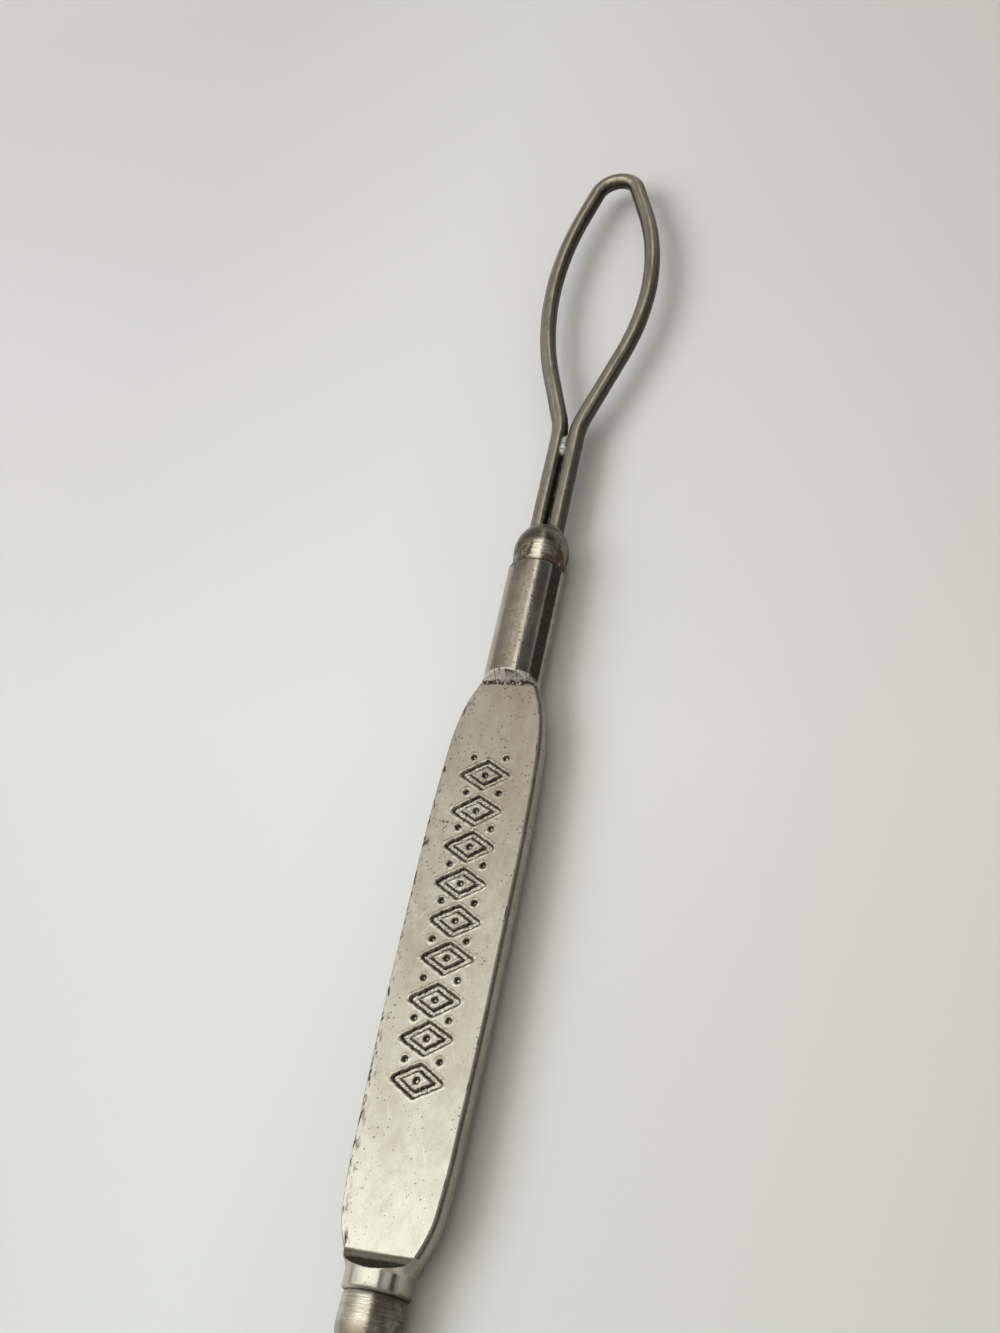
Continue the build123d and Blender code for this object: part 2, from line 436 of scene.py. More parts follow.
def turned_steel():
    """The beads: turning marks round the belt, a smooth dull dome, brown oxide and darker rust spots, with a
    painted highlight along the top and painted shade on the sides.
    """
    skin = Finish("turned_steel")
    rings = skin.noise((16000, 260, 260), 3.0, 0.65)
    fine_rings = skin.noise((45000, 700, 700), 2.0, 0.6)
    clouds = skin.noise(900, 4.0, 0.6)
    spots = skin.noise((1100, 1300, 1300), 4.0, 0.65)
    grain = skin.noise(7000, 2.0, 0.7)
    dome = skin.field("smear")
    belt = skin.minus(1.0, dome)
    grime_and_shade = skin.field("grime_and_shade")
    patina_and_shade = skin.times(skin.field("patina_and_shade"), skin.ramp(clouds, 0.28, 0.6, 0.6, 1.0))

    groove = (0.45, 0.41, 0.345)
    ridge = (0.78, 0.75, 0.67)
    dull_dome = (0.44, 0.40, 0.34)
    oxide_and_shade_groove = (0.08, 0.066, 0.051)
    oxide_and_shade_ridge = (0.18, 0.158, 0.128)
    bright_wear_and_highlight = (1.0, 0.97, 0.88)
    rust_brown = (0.085, 0.05, 0.03)
    dirt_and_shade = (0.05, 0.036, 0.026)
    colour = skin.blend(skin.ramp(rings, 0.3, 0.7), groove, ridge)
    colour = skin.blend(dome, colour, dull_dome)
    # Painted shade and oxide: the sides and the dull places turn dark brown
    colour = skin.blend(patina_and_shade, colour, skin.blend(skin.ramp(rings, 0.35, 0.65), oxide_and_shade_groove, oxide_and_shade_ridge))
    # Painted highlight: the bright strip along the top, partly worn
    rubbed_and_highlight = skin.times(skin.field("rubbed_and_highlight"), skin.ramp(rings, 0.3, 0.55, 0.35, 1.0))
    colour = skin.blend(rubbed_and_highlight, colour, bright_wear_and_highlight)
    rust = skin.times(skin.ramp(spots, 0.47, 0.55, 0.0, 0.95), skin.ramp(patina_and_shade, 0.15, 0.4, 0.0, 1.0))
    rust = skin.times(rust, skin.times(skin.field("rusty"), skin.ramp(belt, 0, 1, 0.2, 1.0)))
    colour = skin.blend(rust, colour, rust_brown)
    # Dirt at the seat and rust stains, with painted shade in the hook bead's seam towards its right
    colour = skin.blend(grime_and_shade, colour, dirt_and_shade)

    roughness = skin.plus(skin.ramp(rings, 0.3, 0.7, 0.2, 0.3), skin.times(rust, 0.3))
    roughness = skin.plus(roughness, skin.times(patina_and_shade, 0.07))
    normal = skin.bump(rings, 0.00004, skin.times(belt, 0.75))
    normal = skin.bump(fine_rings, 0.000012, skin.times(belt, 0.6), normal)
    normal = skin.bump(grain, 0.000008, 0.4, normal)
    metallic = skin.ramp(skin.higher(rust, grime_and_shade), 0.3, 0.9, 1.0, 0.4)
    return skin.finish(colour, roughness, normal, metallic, 0.2)


def drawn_wire():
    """The loop: drawn steel wire with lengthwise streaks, dulled patches and painted shade that darkens its
    flanks and underside.
    """
    skin = Finish("drawn_wire")
    streaks = skin.own_noise((0.12, 6.5, 6.5), 3.0, 0.6)
    long_streaks = skin.own_noise((0.05, 3.0, 3.0), 2.0, 0.5)
    clouds = skin.own_noise((0.45, 1.2, 1.2), 4.0, 0.6)
    grain = skin.noise(8000, 2.0, 0.7)

    grey = (0.36, 0.325, 0.275)
    bright = (0.66, 0.625, 0.56)
    dull = (0.33, 0.285, 0.23)
    painted_flank_shade = (0.05, 0.042, 0.034)
    colour = skin.blend(skin.ramp(streaks, 0.32, 0.68), grey, bright)
    colour = skin.blend(skin.ramp(clouds, 0.45, 0.75, 0.0, 0.55), colour, dull)
    # Painted shade: the flanks and underside turn near black
    patina_and_shade = skin.times(skin.field("patina_and_shade"), skin.ramp(streaks, 0.3, 0.6, 0.8, 1.0))
    colour = skin.blend(patina_and_shade, colour, painted_flank_shade)

    roughness = skin.plus(skin.ramp(clouds, 0.3, 0.7, 0.26, 0.38), skin.times(skin.field("grime_and_shade"), 0.25))
    normal = skin.bump(streaks, 0.00001, 0.7)
    normal = skin.bump(long_streaks, 0.00002, 0.5, normal)
    normal = skin.bump(grain, 0.000008, 0.35, normal)
    return skin.finish_dirt_and_shade(colour, roughness, normal, 0.2)


def soft_solder():
    """Dull grey-brown solder with a slightly lumpy skin, brighter where the piece says so."""
    skin = Finish("soft_solder")
    clouds = skin.noise(1300, 3.0, 0.6)
    grain = skin.noise(6500, 3.0, 0.7)

    dark = (0.36, 0.325, 0.28)
    grey = (0.53, 0.49, 0.43)
    bright = (0.6, 0.58, 0.59)
    colour = skin.blend(skin.ramp(clouds, 0.35, 0.65), dark, grey)
    colour = skin.blend(skin.field("bright"), colour, bright)

    normal = skin.bump(clouds, 0.00006, 0.5)
    normal = skin.bump(grain, 0.000012, 0.5, normal)
    return skin.finish_dirt_and_shade(colour, skin.ramp(clouds, 0.3, 0.7, 0.33, 0.46), normal, 0.5)


def hook_steel():
    """The hook's rod: satin steel, worn bright at the bend and the tip."""
    skin = Finish("hook_rod_steel")
    streaks = skin.own_noise((0.15, 5.0, 5.0), 3.0, 0.6)
    clouds = skin.own_noise((0.3, 1.1, 1.1), 4.0, 0.6)
    grain = skin.noise(8000, 2.0, 0.7)
    spots = skin.own_noise((0.9, 1.6, 1.6), 3.0, 0.6)
    rubbed_and_highlight = skin.field("rubbed_and_highlight")

    grey = (0.46, 0.42, 0.365)
    bright = (0.66, 0.63, 0.575)
    dull = (0.38, 0.34, 0.285)
    rust_brown = (0.13, 0.085, 0.055)
    bright_wear_and_highlight = (0.76, 0.74, 0.70)
    colour = skin.blend(skin.ramp(streaks, 0.32, 0.68), grey, bright)
    colour = skin.blend(skin.ramp(clouds, 0.45, 0.75, 0.0, 0.45), colour, dull)
    colour = skin.blend(skin.ramp(spots, 0.63, 0.7, 0.0, 0.7), colour, rust_brown)
    colour = skin.blend(skin.times(rubbed_and_highlight, 0.7), colour, bright_wear_and_highlight)

    roughness = skin.minus(skin.ramp(clouds, 0.3, 0.7, 0.27, 0.38), skin.times(rubbed_and_highlight, 0.08))
    normal = skin.bump(streaks, 0.00001, 0.6)
    normal = skin.bump(grain, 0.000008, 0.35, normal)
    return skin.finish_dirt_and_shade(colour, roughness, normal, 0.5)


def table_top_painted_light():
    """A pale table top whose colour is painted with the fall of light: darker to the right of the tool and
    past the loop's end, lighter near the tool.
    """
    skin = Finish("table_top_painted_light")
    along, across, _ = skin.add("ShaderNodeSeparateXYZ", {0: skin.place(1000)}).outputs
    # Painted light: both ramps copy how bright the light falls over the table
    colour = skin.gradient(skin.ramp(across, -200, 200), (
        (0.0, (0.6, 0.6, 0.58)), (0.375, (0.582, 0.58, 0.547)), (0.45, (0.662, 0.661, 0.651)),
        (0.5375, (0.745, 0.756, 0.775)), (0.6125, (0.708, 0.713, 0.743)), (0.7, (0.728, 0.727, 0.759)),
        (1.0, (0.72, 0.72, 0.74)),
    ))
    far = skin.gradient(skin.ramp(along, -150, 250), (
        (0.0, (0.95, 0.95, 0.95)), (0.325, (0.935, 0.945, 0.94)), (0.4375, (1.0, 1.0, 1.0)),
        (0.55, (0.921, 0.907, 0.925)), (0.6625, (0.844, 0.831, 0.828)), (1.0, (0.86, 0.86, 0.86)),
    ))
    colour = skin.blend(1.0, colour, far, "MULTIPLY")
    normal = skin.bump(skin.noise(900, 2.0, 0.5), 0.00001, 0.2)
    return skin.finish(colour, 0.55, normal, 0.0, 0.3)


NICKEL = worn_nickel()
BEAD_STEEL = turned_steel()
WIRE_STEEL = drawn_wire()
SOLDER = soft_solder()
HOOK_STEEL = hook_steel()


# Bar


def bar_stations():
    """Places of the rings along the bar, closest at the seats, the shoulders and the punched border."""
    near_seat = np.array([0.03, 0.07, 0.12, 0.18, 0.25, 0.33])
    return np.concatenate([
        [HOOK_SEAT - SPIGOT_LENGTH, HOOK_SEAT - 0.01, HOOK_SEAT],
        HOOK_SEAT + near_seat,
        HOOK_SEAT + np.array([0.5, 0.7, 0.9]),
        *[np.arange(start, end, spacing) for start, end, spacing in RING_SPACINGS],
        LOOP_SEAT - near_seat[::-1],
        [LOOP_SEAT, LOOP_SEAT + 0.01, LOOP_SEAT + SPIGOT_LENGTH],
    ])


def bar_angles(half_width):
    """Angles of the points round each ring, from the left side over the top to the right side and below.

    The points are set out on the pressed plate's outline, close together on the top and at its edges, and
    their angles follow. half_width is each ring's own, as a column.
    """
    edge_steps = np.array([0, 0.006, 0.013, 0.021, 0.031, 0.045, 0.065, 0.09,
                           0.125, 0.165, 0.21, 0.26, 0.315, 0.37, 0.42, 0.46])
    few_steps = edge_steps[:8:2]
    top = np.concatenate([edge_steps - 1, np.arange(-0.525, 0.5251, 0.0146), 1 - edge_steps[::-1]])[::-1]
    bottom = np.concatenate([few_steps - 1, np.linspace(-0.87, 0.87, 15), 1 - few_steps[::-1]])
    side = np.linspace(-1, 1, 14)[1:-1]
    side_reach = half_width + SIDE_BULGE * (1 - side**2)
    side_height = HALF_THICKNESS * side + 0 * half_width
    face_height = HALF_THICKNESS + 0 * half_width
    return np.concatenate([
        np.arctan2(side_height, side_reach),
        np.arctan2(face_height, half_width * top),
        np.pi - np.arctan2(side_height[:, ::-1], side_reach[:, ::-1]),
        2 * np.pi + np.arctan2(-face_height, half_width * bottom),
    ], 1)


def plate_radius(x, angle, half_width):
    """The pressed plate's distance from the axis: the lower of its top and of its bulged side.

    The top is half the thickness over the sine of the angle. The side bulges by the square of its height,
    so its distance is the root of a quadratic. The left edge has worn nicks, and the thickness falls a
    little past the ends of the flat.
    """
    sine = np.maximum(np.abs(np.sin(angle)), 1e-6)
    cosine = np.abs(np.cos(angle))
    nicks = ripple_field([x + 0 * angle, np.zeros_like(angle)], [2.6, 1], 3)
    nicks = np.clip(nicks - 0.1, 0, 1)
    edge_round = np.where(np.cos(angle) > 0, 0.09 + 0.16 * nicks, 0.06 + 0.04 * nicks)
    past_ends = 0.5 * np.clip(FLAT_START - x, 0, 0.5) + 0.5 * np.clip(x - FLAT_END, 0, 0.5)
    top = (HALF_THICKNESS - past_ends) / sine
    reach = half_width + SIDE_BULGE
    side = 2 * reach / (cosine + np.sqrt(cosine**2 + 4 * SIDE_BULGE * sine**2 * reach / HALF_THICKNESS**2))
    return smooth_lower(top, side, edge_round)


def shank_radius(x, angle, from_seat):
    """The round bar's distance from the axis, and how far its sloped shoulder lies below the plain bar.

    It is the lower of the bar's radius and of the shoulder, whose height rises from the flat to the bar and
    is divided by the sine of the angle. A chamfer turns the bar's edge at each bead, and the neck before the
    hook's bead was squared a little by the press.
    """
    sine = np.maximum(np.abs(np.sin(angle)), 1e-6)
    cosine = np.abs(np.cos(angle))
    rise = BAR_RADIUS - HALF_THICKNESS
    hook_slope = (FLAT_START - x) / HOOK_SHOULDER_RUN
    hook_slope = np.where(hook_slope > 0, 0.35 * hook_slope + 0.65 * np.abs(hook_slope) ** 2.2, hook_slope)
    loop_slope = (x - FLAT_END) / LOOP_SHOULDER_RUN
    shoulder = np.maximum(HALF_THICKNESS + rise * np.maximum(hook_slope, loop_slope), 0.2)
    chamfer = np.where(x < 0, 0.2, 0.16)
    round_bar = BAR_RADIUS - 0.93 * chamfer * (np.clip(1 - from_seat / chamfer, 0, 1)) ** 1.6
    pressed = smooth_step(x, *NECK_PRESS) * (x < 0)
    neck_width = BAR_RADIUS + 0.15 * pressed
    squareness = 2 + 1.8 * pressed
    squarish = ((cosine / neck_width) ** squareness + (sine / BAR_RADIUS) ** squareness) ** (-1 / squareness)
    round_bar = np.where(pressed > 0, np.minimum(squarish, round_bar + 0.5), round_bar)
    return smooth_lower(round_bar + 0 * angle, shoulder / sine, 0.04), round_bar - shoulder / sine


def punched_marks(x, y):
    """Distance to the nearest stroke of the punched border: a row of lozenges with a dot after each.

    A lozenge's distance is that to the straight side between its two points, by symmetry in one quarter.
    """
    long, wide = LOZENGE_HALF_LENGTH, LOZENGE_HALF_WIDTH
    index = np.clip(np.round((x - FIRST_LOZENGE) / LOZENGE_PITCH), 0, LOZENGE_COUNT - 1).astype(int)
    rng = np.random.default_rng(21)
    shift_x = rng.normal(0, 0.05, LOZENGE_COUNT)
    shift_y = rng.normal(0, 0.07, LOZENGE_COUNT)
    turn = rng.normal(0, 0.035, LOZENGE_COUNT)
    local_x = x - FIRST_LOZENGE - index * LOZENGE_PITCH - shift_x[index]
    local_y = y - shift_y[index]
    out_x = np.abs(local_x + turn[index] * local_y)
    out_y = np.abs(local_y - turn[index] * local_x)
    share = np.clip(((long - out_x) * long + out_y * wide) / (long**2 + wide**2), 0, 1)
    side = np.hypot(out_x - long * (1 - share), out_y - wide * share)
    centre = np.hypot(out_x, out_y) + 0.02
    first_dots = FIRST_LOZENGE + LOZENGE_PITCH / 2
    dots = np.clip(np.round((x - first_dots) / LOZENGE_PITCH), 0, LOZENGE_COUNT - 1)
    dot = np.hypot(x - first_dots - dots * LOZENGE_PITCH, np.abs(y) - DOT_DISTANCE) + 0.04
    return np.minimum(np.minimum(side, centre), dot)


def face_relief(along, y, distance):
    """Height of the flat's upper face: faint waves, and each stroke sunk between low burrs."""
    stroke = smooth_step(STROKE_HALF_WIDTH - distance, 0, STROKE_WALL)
    burr = bell(distance - 0.35, 0.07) * (0.6 + 0.6 * ripple_field([along, y], [0.6, 0.6], 12))
    floor_texture = 0.03 * ripple_field([along, y], [0.16, 0.16], 13)
    waves = 0.010 * ripple_field([along, y], [14.0, 7.0], 14)
    waves = waves + 0.0012 * ripple_field([along, y], [1.6, 1.3], 15)
    return waves + BURR_HEIGHT * burr - stroke * (STROKE_DEPTH + floor_texture)


def stroke_dirt(along, y, distance):
    """Dirt settled in each stroke, and a fainter halo of it along the burr."""
    halo = bell(distance - 0.28, 0.06) * np.clip(0.25 + ripple_field([along, y], [0.35, 0.35], 17), 0, 1)
    settled = np.clip(0.45 + 0.8 * ripple_field([along, y], [0.5, 0.5], 20), 0, 1)
    return np.clip(bell(distance - 0.17, 0.07) * settled + 0.8 * halo, 0, 1)


def seat_dirt_and_shade(along, y, from_seat):
    """The dark seam against each bead and a smudge beside the loop's. At the hook's bead the seam is fainter
    at its left and is painted wider and darker towards the right, as painted shade.
    """
    # Painted shade: at the hook's bead the seam is wider and darker towards the right
    seam_width = np.where(along < 0, 0.1 + 0.12 * smooth_step(-y, -1.2, 0.2), 0.1)
    seam = bell(np.clip(from_seat, 0, None), seam_width) * 0.8
    seam = seam * np.where(along < 0, 0.3 + 0.7 * smooth_step(-y, -1.2, 0.0), 1)
    smudge = bell(from_seat, 0.8) * (along > 0) * smooth_step(y, -0.4, 0.4)
    smudge = smudge * np.clip(0.2 + 1.6 * ripple_field([along, y], [0.5, 0.7], 22), 0, 0.8)
    return seam + smudge


def shank_painted_reflections(level):
    """Two dark streaks along the shank, painted reflections of the dim room, each where its skin is level to
    a certain share.
    """
    broad = smooth_step(level, 0.21, 0.28) * (1 - smooth_step(level, 0.61, 0.67))
    fine = smooth_step(level, 0.69, 0.74) * (1 - smooth_step(level, 0.87, 0.92))
    return 1.3 * broad + 0.3 * fine


def bar_piece():
    """The bar as a distance from its axis, given as a function of the place along it and the angle round it.

    The distance is the higher of the pressed plate's and of the round bar's. The border and the waves are
    then added to the height of the flat's upper face, and file marks to that of the short shoulder.
    """
    stations = bar_stations()
    x = stations[:, None]
    half_width = flowing_curve(stations, OUTLINE_PLACES, OUTLINE_HALF_WIDTHS)[:, None]
    angle = bar_angles(np.maximum(half_width, LEAST_SPREAD))
    from_seat = np.minimum(x - HOOK_SEAT, LOOP_SEAT - x)
    round_bar, below_bar = shank_radius(x, angle, from_seat)
    radius = -smooth_lower(-plate_radius(x, angle, half_width), -round_bar, 0.05)
    radius = np.where(from_seat < 0, SPIGOT_RADIUS, radius)

    along = x + 0 * angle
    up = np.sin(angle)
    y = radius * np.cos(angle)
    z = radius * up
    in_flat = (along > FLAT_START) & (along < FLAT_END)
    on_top = smooth_step(up, 0, 0.1) * smooth_step(z, 0.9, 1.05) * in_flat
    within = on_top * smooth_step(half_width - np.abs(y), 0.0, 0.25)
    distance = punched_marks(along, y) + 0.03 * ripple_field([along, y], [0.5, 0.5], 11)
    filed = (along > FLAT_END) & (along < FLAT_END + LOOP_SHOULDER_RUN + 0.05)
    filed = filed * smooth_step(up, 0.3, 0.6)
    file_marks = 0.022 * ripple_field([along, y], [0.22, 0.3], 16) * (z < round_bar - 0.05)
    z = z + within * face_relief(along, y, distance) + filed * file_marks
    points = np.stack([along, y, z + AXIS_HEIGHT], -1)

    # Dirt lies on the left edge, in the strokes, in the seams and at the short shoulder's foot.
    # Painted shade lies on the plate's side, on the long shoulder, in the hook bead's seam and in streaks on
    # the shank's right
    level = level_share(points)
    shank = smooth_step(along, FLAT_END, FLAT_END + 1) * smooth_step(up, -0.2, 0.2)
    edge_dirt = np.clip(1 - (half_width - y) / 0.55, 0, 1)
    edge_dirt = edge_dirt * np.clip(ripple_field([along, y], [1.1, 0.3], 18) - 0.1, 0, 1)
    foot_dirt = 0.9 * bell(along - FLAT_END, 0.12) * smooth_step(up, 0.2, 0.5)
    foot_dirt = foot_dirt * np.clip(0.6 + ripple_field([along, y], [0.3, 0.3], 19), 0, 1)
    # Painted shade: a dark line along the upper edge of each side of the plate
    side_edge_painted_shade = bell(z - 0.81, 0.16) * in_flat * (up > 0) * (level < 0.8)
    # Painted shade: the long shoulder darkens the further it lies from the flat
    slope_painted_shade = smooth_step(below_bar, -0.01, 0.03) * (along < FLAT_START) * (up > 0.3)
    slope_painted_shade = slope_painted_shade * (0.1 + 1.1 * smooth_step(FLAT_START - along, 0.05, 0.8))
    grime_and_shade = within * stroke_dirt(along, y, distance) + 2.2 * on_top * edge_dirt + foot_dirt
    grime_and_shade = grime_and_shade + seat_dirt_and_shade(along, y, from_seat) + 0.8 * side_edge_painted_shade + slope_painted_shade
    # Painted reflection: two dark streaks along the right side of the shank
    grime_and_shade = grime_and_shade + shank_painted_reflections(level) * (y < 0) * shank

    rough = filed + 0.45 * shank + 0.7 * within * bell(distance, 0.5)
    # Painted shade on the bar's sides: darker wherever the skin is steep, with extra brown oxide on the
    # shank's left, and less on the shank's right and along the middle of the plate's side, where a lighter
    # band is painted
    side_band = bell(z, 0.6) * (along > FLAT_START - 1) * (along < FLAT_END + 0.5)
    patina_and_shade = 1 - smooth_step(level, 0.3, 0.62) + shank * np.where(y > 0, 0.35, -0.3) - 0.45 * side_band
    foot_pits = bell(along - FLAT_END - 0.02, 0.16) * (up > 0.2)
    attributes = {"grime_and_shade": grime_and_shade, "rough": rough, "patina_and_shade": patina_and_shade, "pits": foot_pits, "fresh": filed}
    return grid_piece("pressed_bar", points, "handle_bar", NICKEL, attributes)


# Beads


def ring_angles(count):
    return np.linspace(0, 2 * np.pi, count, endpoint=False)


def bead_profile(swell_radius, seat_drop):
    """Places along a bead from its seat, and its radius at each.

    An arc rises from the seat to the widest place, a quarter ellipse falls to the mouth, and the bore leads
    back to the seat. seat_drop is how much less the radius is at the seat.
    """
    swell = np.linspace(0, SWELL_LENGTH, 46)
    swell_radii = swell_radius - seat_drop * ((SWELL_LENGTH - swell) / SWELL_LENGTH) ** 2
    turns = np.linspace(np.pi / 2, np.arcsin(BORE_RADIUS / swell_radius), 42)[1:]
    dome = SWELL_LENGTH + DOME_LENGTH * np.cos(turns)
    dome_radii = swell_radius * np.sin(turns)
    places = np.concatenate([[0.0, 0.0, 0.03], swell[2:], dome, [dome[-1] - 0.15, SPIGOT_LENGTH, 0.05]])
    seat_radii = [BORE_RADIUS, swell_radii[0] - 0.05, swell_radii[1] - 0.005]
    bore_radii = [BORE_RADIUS - 0.01, BORE_RADIUS, BORE_RADIUS]
    return places, np.concatenate([seat_radii, swell_radii[2:], dome_radii, bore_radii])


def bead_wear_and_painted_light(x, across, up, points, belt, direction, oxide):
    """A bead's measures. Along its top a strip is painted bright, partly worn and partly a painted
    highlight, and the rest is as brown as oxide says, with painted shade on its steep sides.

    Right of the strip the hook's bead is darkened all along, and the loop's in one patch, as painted shade.
    Left of it lies a stain, as dark as oxide says.
    """
    jagged = 0.05 * ripple_field([x, across], [0.22, 4.0], 35)
    grime_and_shade = 0.85 * bell(x, 0.27, 4)
    # Painted light: strip places the painted highlight, and dull paints shade on the hook bead's right half
    # and on a patch of the loop bead's dome
    if direction < 0:
        strip = -0.07
        dull = 0.88 * smooth_step(1.6 * jagged - across, 0.24, 0.38)
        # Painted shade: the seam darkens towards the hook bead's right
        grime_and_shade = grime_and_shade * (0.3 + 0.7 * smooth_step(-across, -0.55, 0.0))
    else:
        strip = -0.22
        dull = 0.8 * smooth_step(-across, 0.45, 0.62) * (up > 0)
        dull = dull * smooth_step(x, 1.0, 1.6) * (1 - smooth_step(x, 3.1, 3.8))
    # Painted highlight, partly worn: a bright strip along the top of the belt
    rubbed_and_highlight = bell(across - strip + 1.5 * jagged, 0.23, 3) * (up > 0) * belt
    # Painted shade on the steep sides and in the dull places, with brown oxide away from the strip
    patina_and_shade = 1 - smooth_step(level_share(points), 0.3, 0.66) + np.maximum(oxide * (1 - rubbed_and_highlight), dull)
    stain = bell(x - 0.8, 0.55) * bell(across - 0.3, 0.22) * (up > 0)
    stain = stain * np.clip(0.35 + 3.0 * ripple_field([x, 2 * across], [0.5, 0.5], 34), 0, 1)
    grime_and_shade = grime_and_shade + oxide * 1.8 * stain
    rusty = np.full_like(x, oxide + 0.2)
    smear = smooth_step(x, 1.7, 2.15)
    return {"grime_and_shade": grime_and_shade, "smear": smear, "patina_and_shade": patina_and_shade, "rubbed_and_highlight": rubbed_and_highlight, "rusty": rusty}


def bead_piece(name, node, seat, direction, swell_radius, seat_drop, oxide):
    """A bead as a profile turned round the axis, with fine turning ripples and dents added to the radius.

    direction is +1 where the bead points towards the loop and -1 towards the hook.
    """
    places, radii = bead_profile(swell_radius, seat_drop)
    index = np.arange(len(places))[:, None]
    outer = (index > 0) & (index < len(places) - 3)
    turn = ring_angles(120)
    x = places[:, None] + 0 * turn
    across = np.cos(turn) + 0 * x
    up = np.sin(turn) + 0 * x
    belt = 1 - smooth_step(x, 1.6, 2.1)
    ripples = 0.013 * ripple_field([x, across, up], [0.17, 5, 5], 31)
    ripples = ripples + 0.006 * ripple_field([x, across], [0.07, 12], 32)
    dents = 0.012 * ripple_field([x, 2 * across, 2 * up], [1.4, 2.5, 2.5], 33)
    radius = radii[:, None] + outer * (ripples * (0.06 + 0.94 * belt) + dents - 0.02)
    up = direction * up
    points = np.stack([seat + direction * x, radius * across, radius * up + AXIS_HEIGHT], -1)
    attributes = bead_wear_and_painted_light(x, across, up, points, belt, direction, oxide)
    return grid_piece(name, points, node, BEAD_STEEL, attributes, closed_rows=True)


def crown_piece(name, node, seat, direction, wires, wire_radius):
    """A solder crown: a round cap over the bore, whose surface rises in a small fillet round each wire.

    The rise is a bell curve of the distance from the wire's skin.
    """
    mouth = SWELL_LENGTH + DOME_LENGTH * np.cos(np.arcsin(BORE_RADIUS / BEAD_RADIUS))
    top = SWELL_LENGTH + DOME_LENGTH
    cap_rise = top - mouth
    cap_radius = (BORE_RADIUS**2 + cap_rise**2) / (2 * cap_rise)
    rings = BORE_RADIUS * np.concatenate([[1.0, 1.0], np.linspace(1.0, 0.02, 60)])
    turn = ring_angles(120)
    out = rings[:, None] + 0 * turn
    y = out * np.cos(turn)
    z = out * np.sin(turn)
    cap = top - cap_radius + np.sqrt(np.maximum(cap_radius**2 - out**2, 0)) - 0.03
    from_wire = np.full_like(out, 9.0)
    for wire_y in wires:
        from_wire = np.minimum(from_wire, np.abs(np.hypot(y - wire_y, z) - wire_radius))
    fillet = 0.16 * bell(from_wire, 0.16) * smooth_step(BORE_RADIUS - out, 0.0, 0.25)
    lumps = 0.03 * ripple_field([y, z], [0.8, 0.8], 41) * smooth_step(BORE_RADIUS - out, 0.0, 0.3)
    x = np.minimum(cap + fillet + lumps, top - 0.005)
    x[0] = SPIGOT_LENGTH
    x[1] = mouth - 0.1
    points = np.stack([seat + direction * x, direction * y, z + AXIS_HEIGHT], -1)
    grime_and_shade = 0.7 * bell(from_wire, 0.06) + 0.25 * bell(BORE_RADIUS - out, 0.05)
    grime_and_shade[:2] = 0
    return grid_piece(name, points, node, SOLDER, {"grime_and_shade": grime_and_shade})


# Wire loop and hook


def with_directions(points):
    """A path and its unit direction at each point."""
    points = np.array(points)
    return points, unit(np.gradient(points, axis=0))


def rounded_path(corners, radii, step):
    """Points along straight runs whose corners are rounded by arcs, with the direction at each point.

    At a corner the arc starts where the run still has radius times the tangent of half the turn to go.
    """
    corners = np.asarray(corners, float)
    points = [corners[0]]
    for index, radius in enumerate(radii, start=1):
        before = unit(corners[index] - corners[index - 1])
        after = unit(corners[index + 1] - corners[index])
        turn = np.arctan2(before[0] * after[1] - before[1] * after[0], before @ after)
        cut = radius * np.tan(abs(turn) / 2)
        start = corners[index] - before * cut
        side = np.sign(turn) * np.array([-before[1], before[0]])
        centre = start + side * radius
        count = max(int(abs(turn) * radius / step), 8)
        swing = np.linspace(0, turn, count + 1)[:, None]
        arm = start - centre
        arc = centre + np.cos(swing) * arm + np.sin(swing) * np.array([-arm[1], arm[0]])
        run = max(int(np.linalg.norm(start - points[-1]) / step), 1)
        straight = points[-1] + (start - points[-1]) * np.linspace(0, 1, run + 1)[1:-1, None]
        points += [*straight, *arc]
    run = max(int(np.linalg.norm(corners[-1] - points[-1]) / step), 1)
    points += [*(points[-1] + (corners[-1] - points[-1]) * np.linspace(0, 1, run + 1)[1:, None])]
    return with_directions(points)


def tube_along(points, directions, radius_of, count):
    """A round tube: each ring lies square to the path, and radius_of tells its radius by length and angle.

    Returns the grid of points, the same grid with the path pulled straight, and the length at each ring.
    """
    lengths = np.concatenate([[0], np.cumsum(np.linalg.norm(np.diff(points, axis=0), axis=1))])
    turn = ring_angles(count)
    length = lengths[:, None] + 0 * turn
    cosine = np.cos(turn) + 0 * length
    sine = np.sin(turn) + 0 * length
    radius = radius_of(length, cosine, sine)
    across = np.stack([-directions[:, 1], directions[:, 0]], -1)
    level = points[:, None, :] + (radius * cosine)[..., None] * across[:, None, :]
    height = radius * sine + AXIS_HEIGHT
    grid = np.concatenate([level, height[..., None]], -1)
    return grid, np.stack([length, cosine, sine], -1), lengths


def loop_wire_radius(length, cosine, sine):
    dents = ripple_field([length, 0.7 * cosine, 0.7 * sine], [1.6, 1.6, 1.6], 51)
    slow = ripple_field([length, cosine], [9.0, 6.0], 52)
    return WIRE_RADIUS - 0.012 + 0.008 * dents + 0.004 * slow


